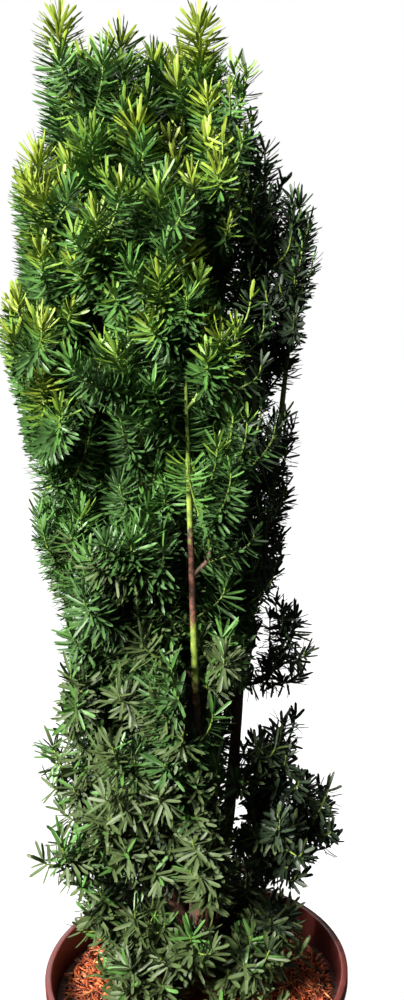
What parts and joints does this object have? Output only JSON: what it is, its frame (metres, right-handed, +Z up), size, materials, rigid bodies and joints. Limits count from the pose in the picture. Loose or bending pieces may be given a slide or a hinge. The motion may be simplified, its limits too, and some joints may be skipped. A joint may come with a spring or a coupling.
{
  "type": "potted english yew",
  "caption": "Upright young yew: a trunk and upswept stems that rise close together, clothed in shoots of flat needles, in bark mulch in a round tapering plastic pot.",
  "frame": {"origin": "centre of the pot's flat underside, on the surface it stands on", "axes": "+Z up along the plant's height; -Y towards the side seen from the front; +X to the right seen from there"},
  "size_m": [0.262, 0.26, 0.989],
  "materials": {
    "pot": "moulded, satin, terracotta brown",
    "compost": "moist and crumbly",
    "mulch": "loose orange-brown bark fibre and chips",
    "bark": "thin flaky red-brown bark, green on young wood",
    "foliage": "glossy flat needles, lime green at the tips"
  },
  "bodies": {
    "root": {"pot": "pot", "compost": "compost", "mulch": "mulch", "trunk": "bark", "stem_right": "bark", "stem_left": "bark", "stem_front": "bark", "stem_front_left": "bark", "stem_back": "bark", "stem_left_back": "bark", "stem_outer_left": "bark", "stem_outer_right": "bark", "stem_back_left": "bark", "stem_back_right": "bark", "top_of_trunk": "foliage", "top_of_stem_right": "foliage", "top_of_stem_left": "foliage", "top_of_stem_front": "foliage", "top_of_stem_front_left": "foliage", "top_of_stem_back": "foliage", "top_of_stem_left_back": "foliage", "top_of_stem_outer_left": "foliage", "top_of_stem_outer_right": "foliage", "top_of_stem_back_left": "foliage", "top_of_stem_back_right": "foliage", "spray_right": "foliage", "spray_right_upper": "foliage", "twig_right": "foliage", "low_left": "foliage", "skirt_front": "foliage", "skirt_front_left": "foliage", "skirt_left": "foliage", "skirt_front_right": "foliage", "skirt_right": "foliage", "skirt_back_right": "foliage", "skirt_back": "foliage", "skirt_back_left": "foliage", "trunk_side_1": "foliage", "trunk_side_2": "foliage", "stem_right_side_1": "foliage", "stem_right_side_2": "foliage", "stem_left_side_1": "foliage", "stem_left_side_2": "foliage", "stem_left_side_3": "foliage", "stem_front_side_1": "foliage", "stem_front_side_2": "foliage", "stem_front_side_3": "foliage", "stem_front_side_4": "foliage", "stem_front_left_side_1": "foliage", "stem_front_left_side_2": "foliage", "stem_front_left_side_3": "foliage", "stem_front_left_side_4": "foliage", "stem_back_side_1": "foliage", "stem_back_side_2": "foliage", "stem_back_side_3": "foliage", "stem_left_back_side_1": "foliage", "stem_outer_left_side_1": "foliage", "stem_outer_left_side_2": "foliage", "stem_outer_left_side_3": "foliage", "stem_back_left_side_1": "foliage"}
  },
  "joints": []
}
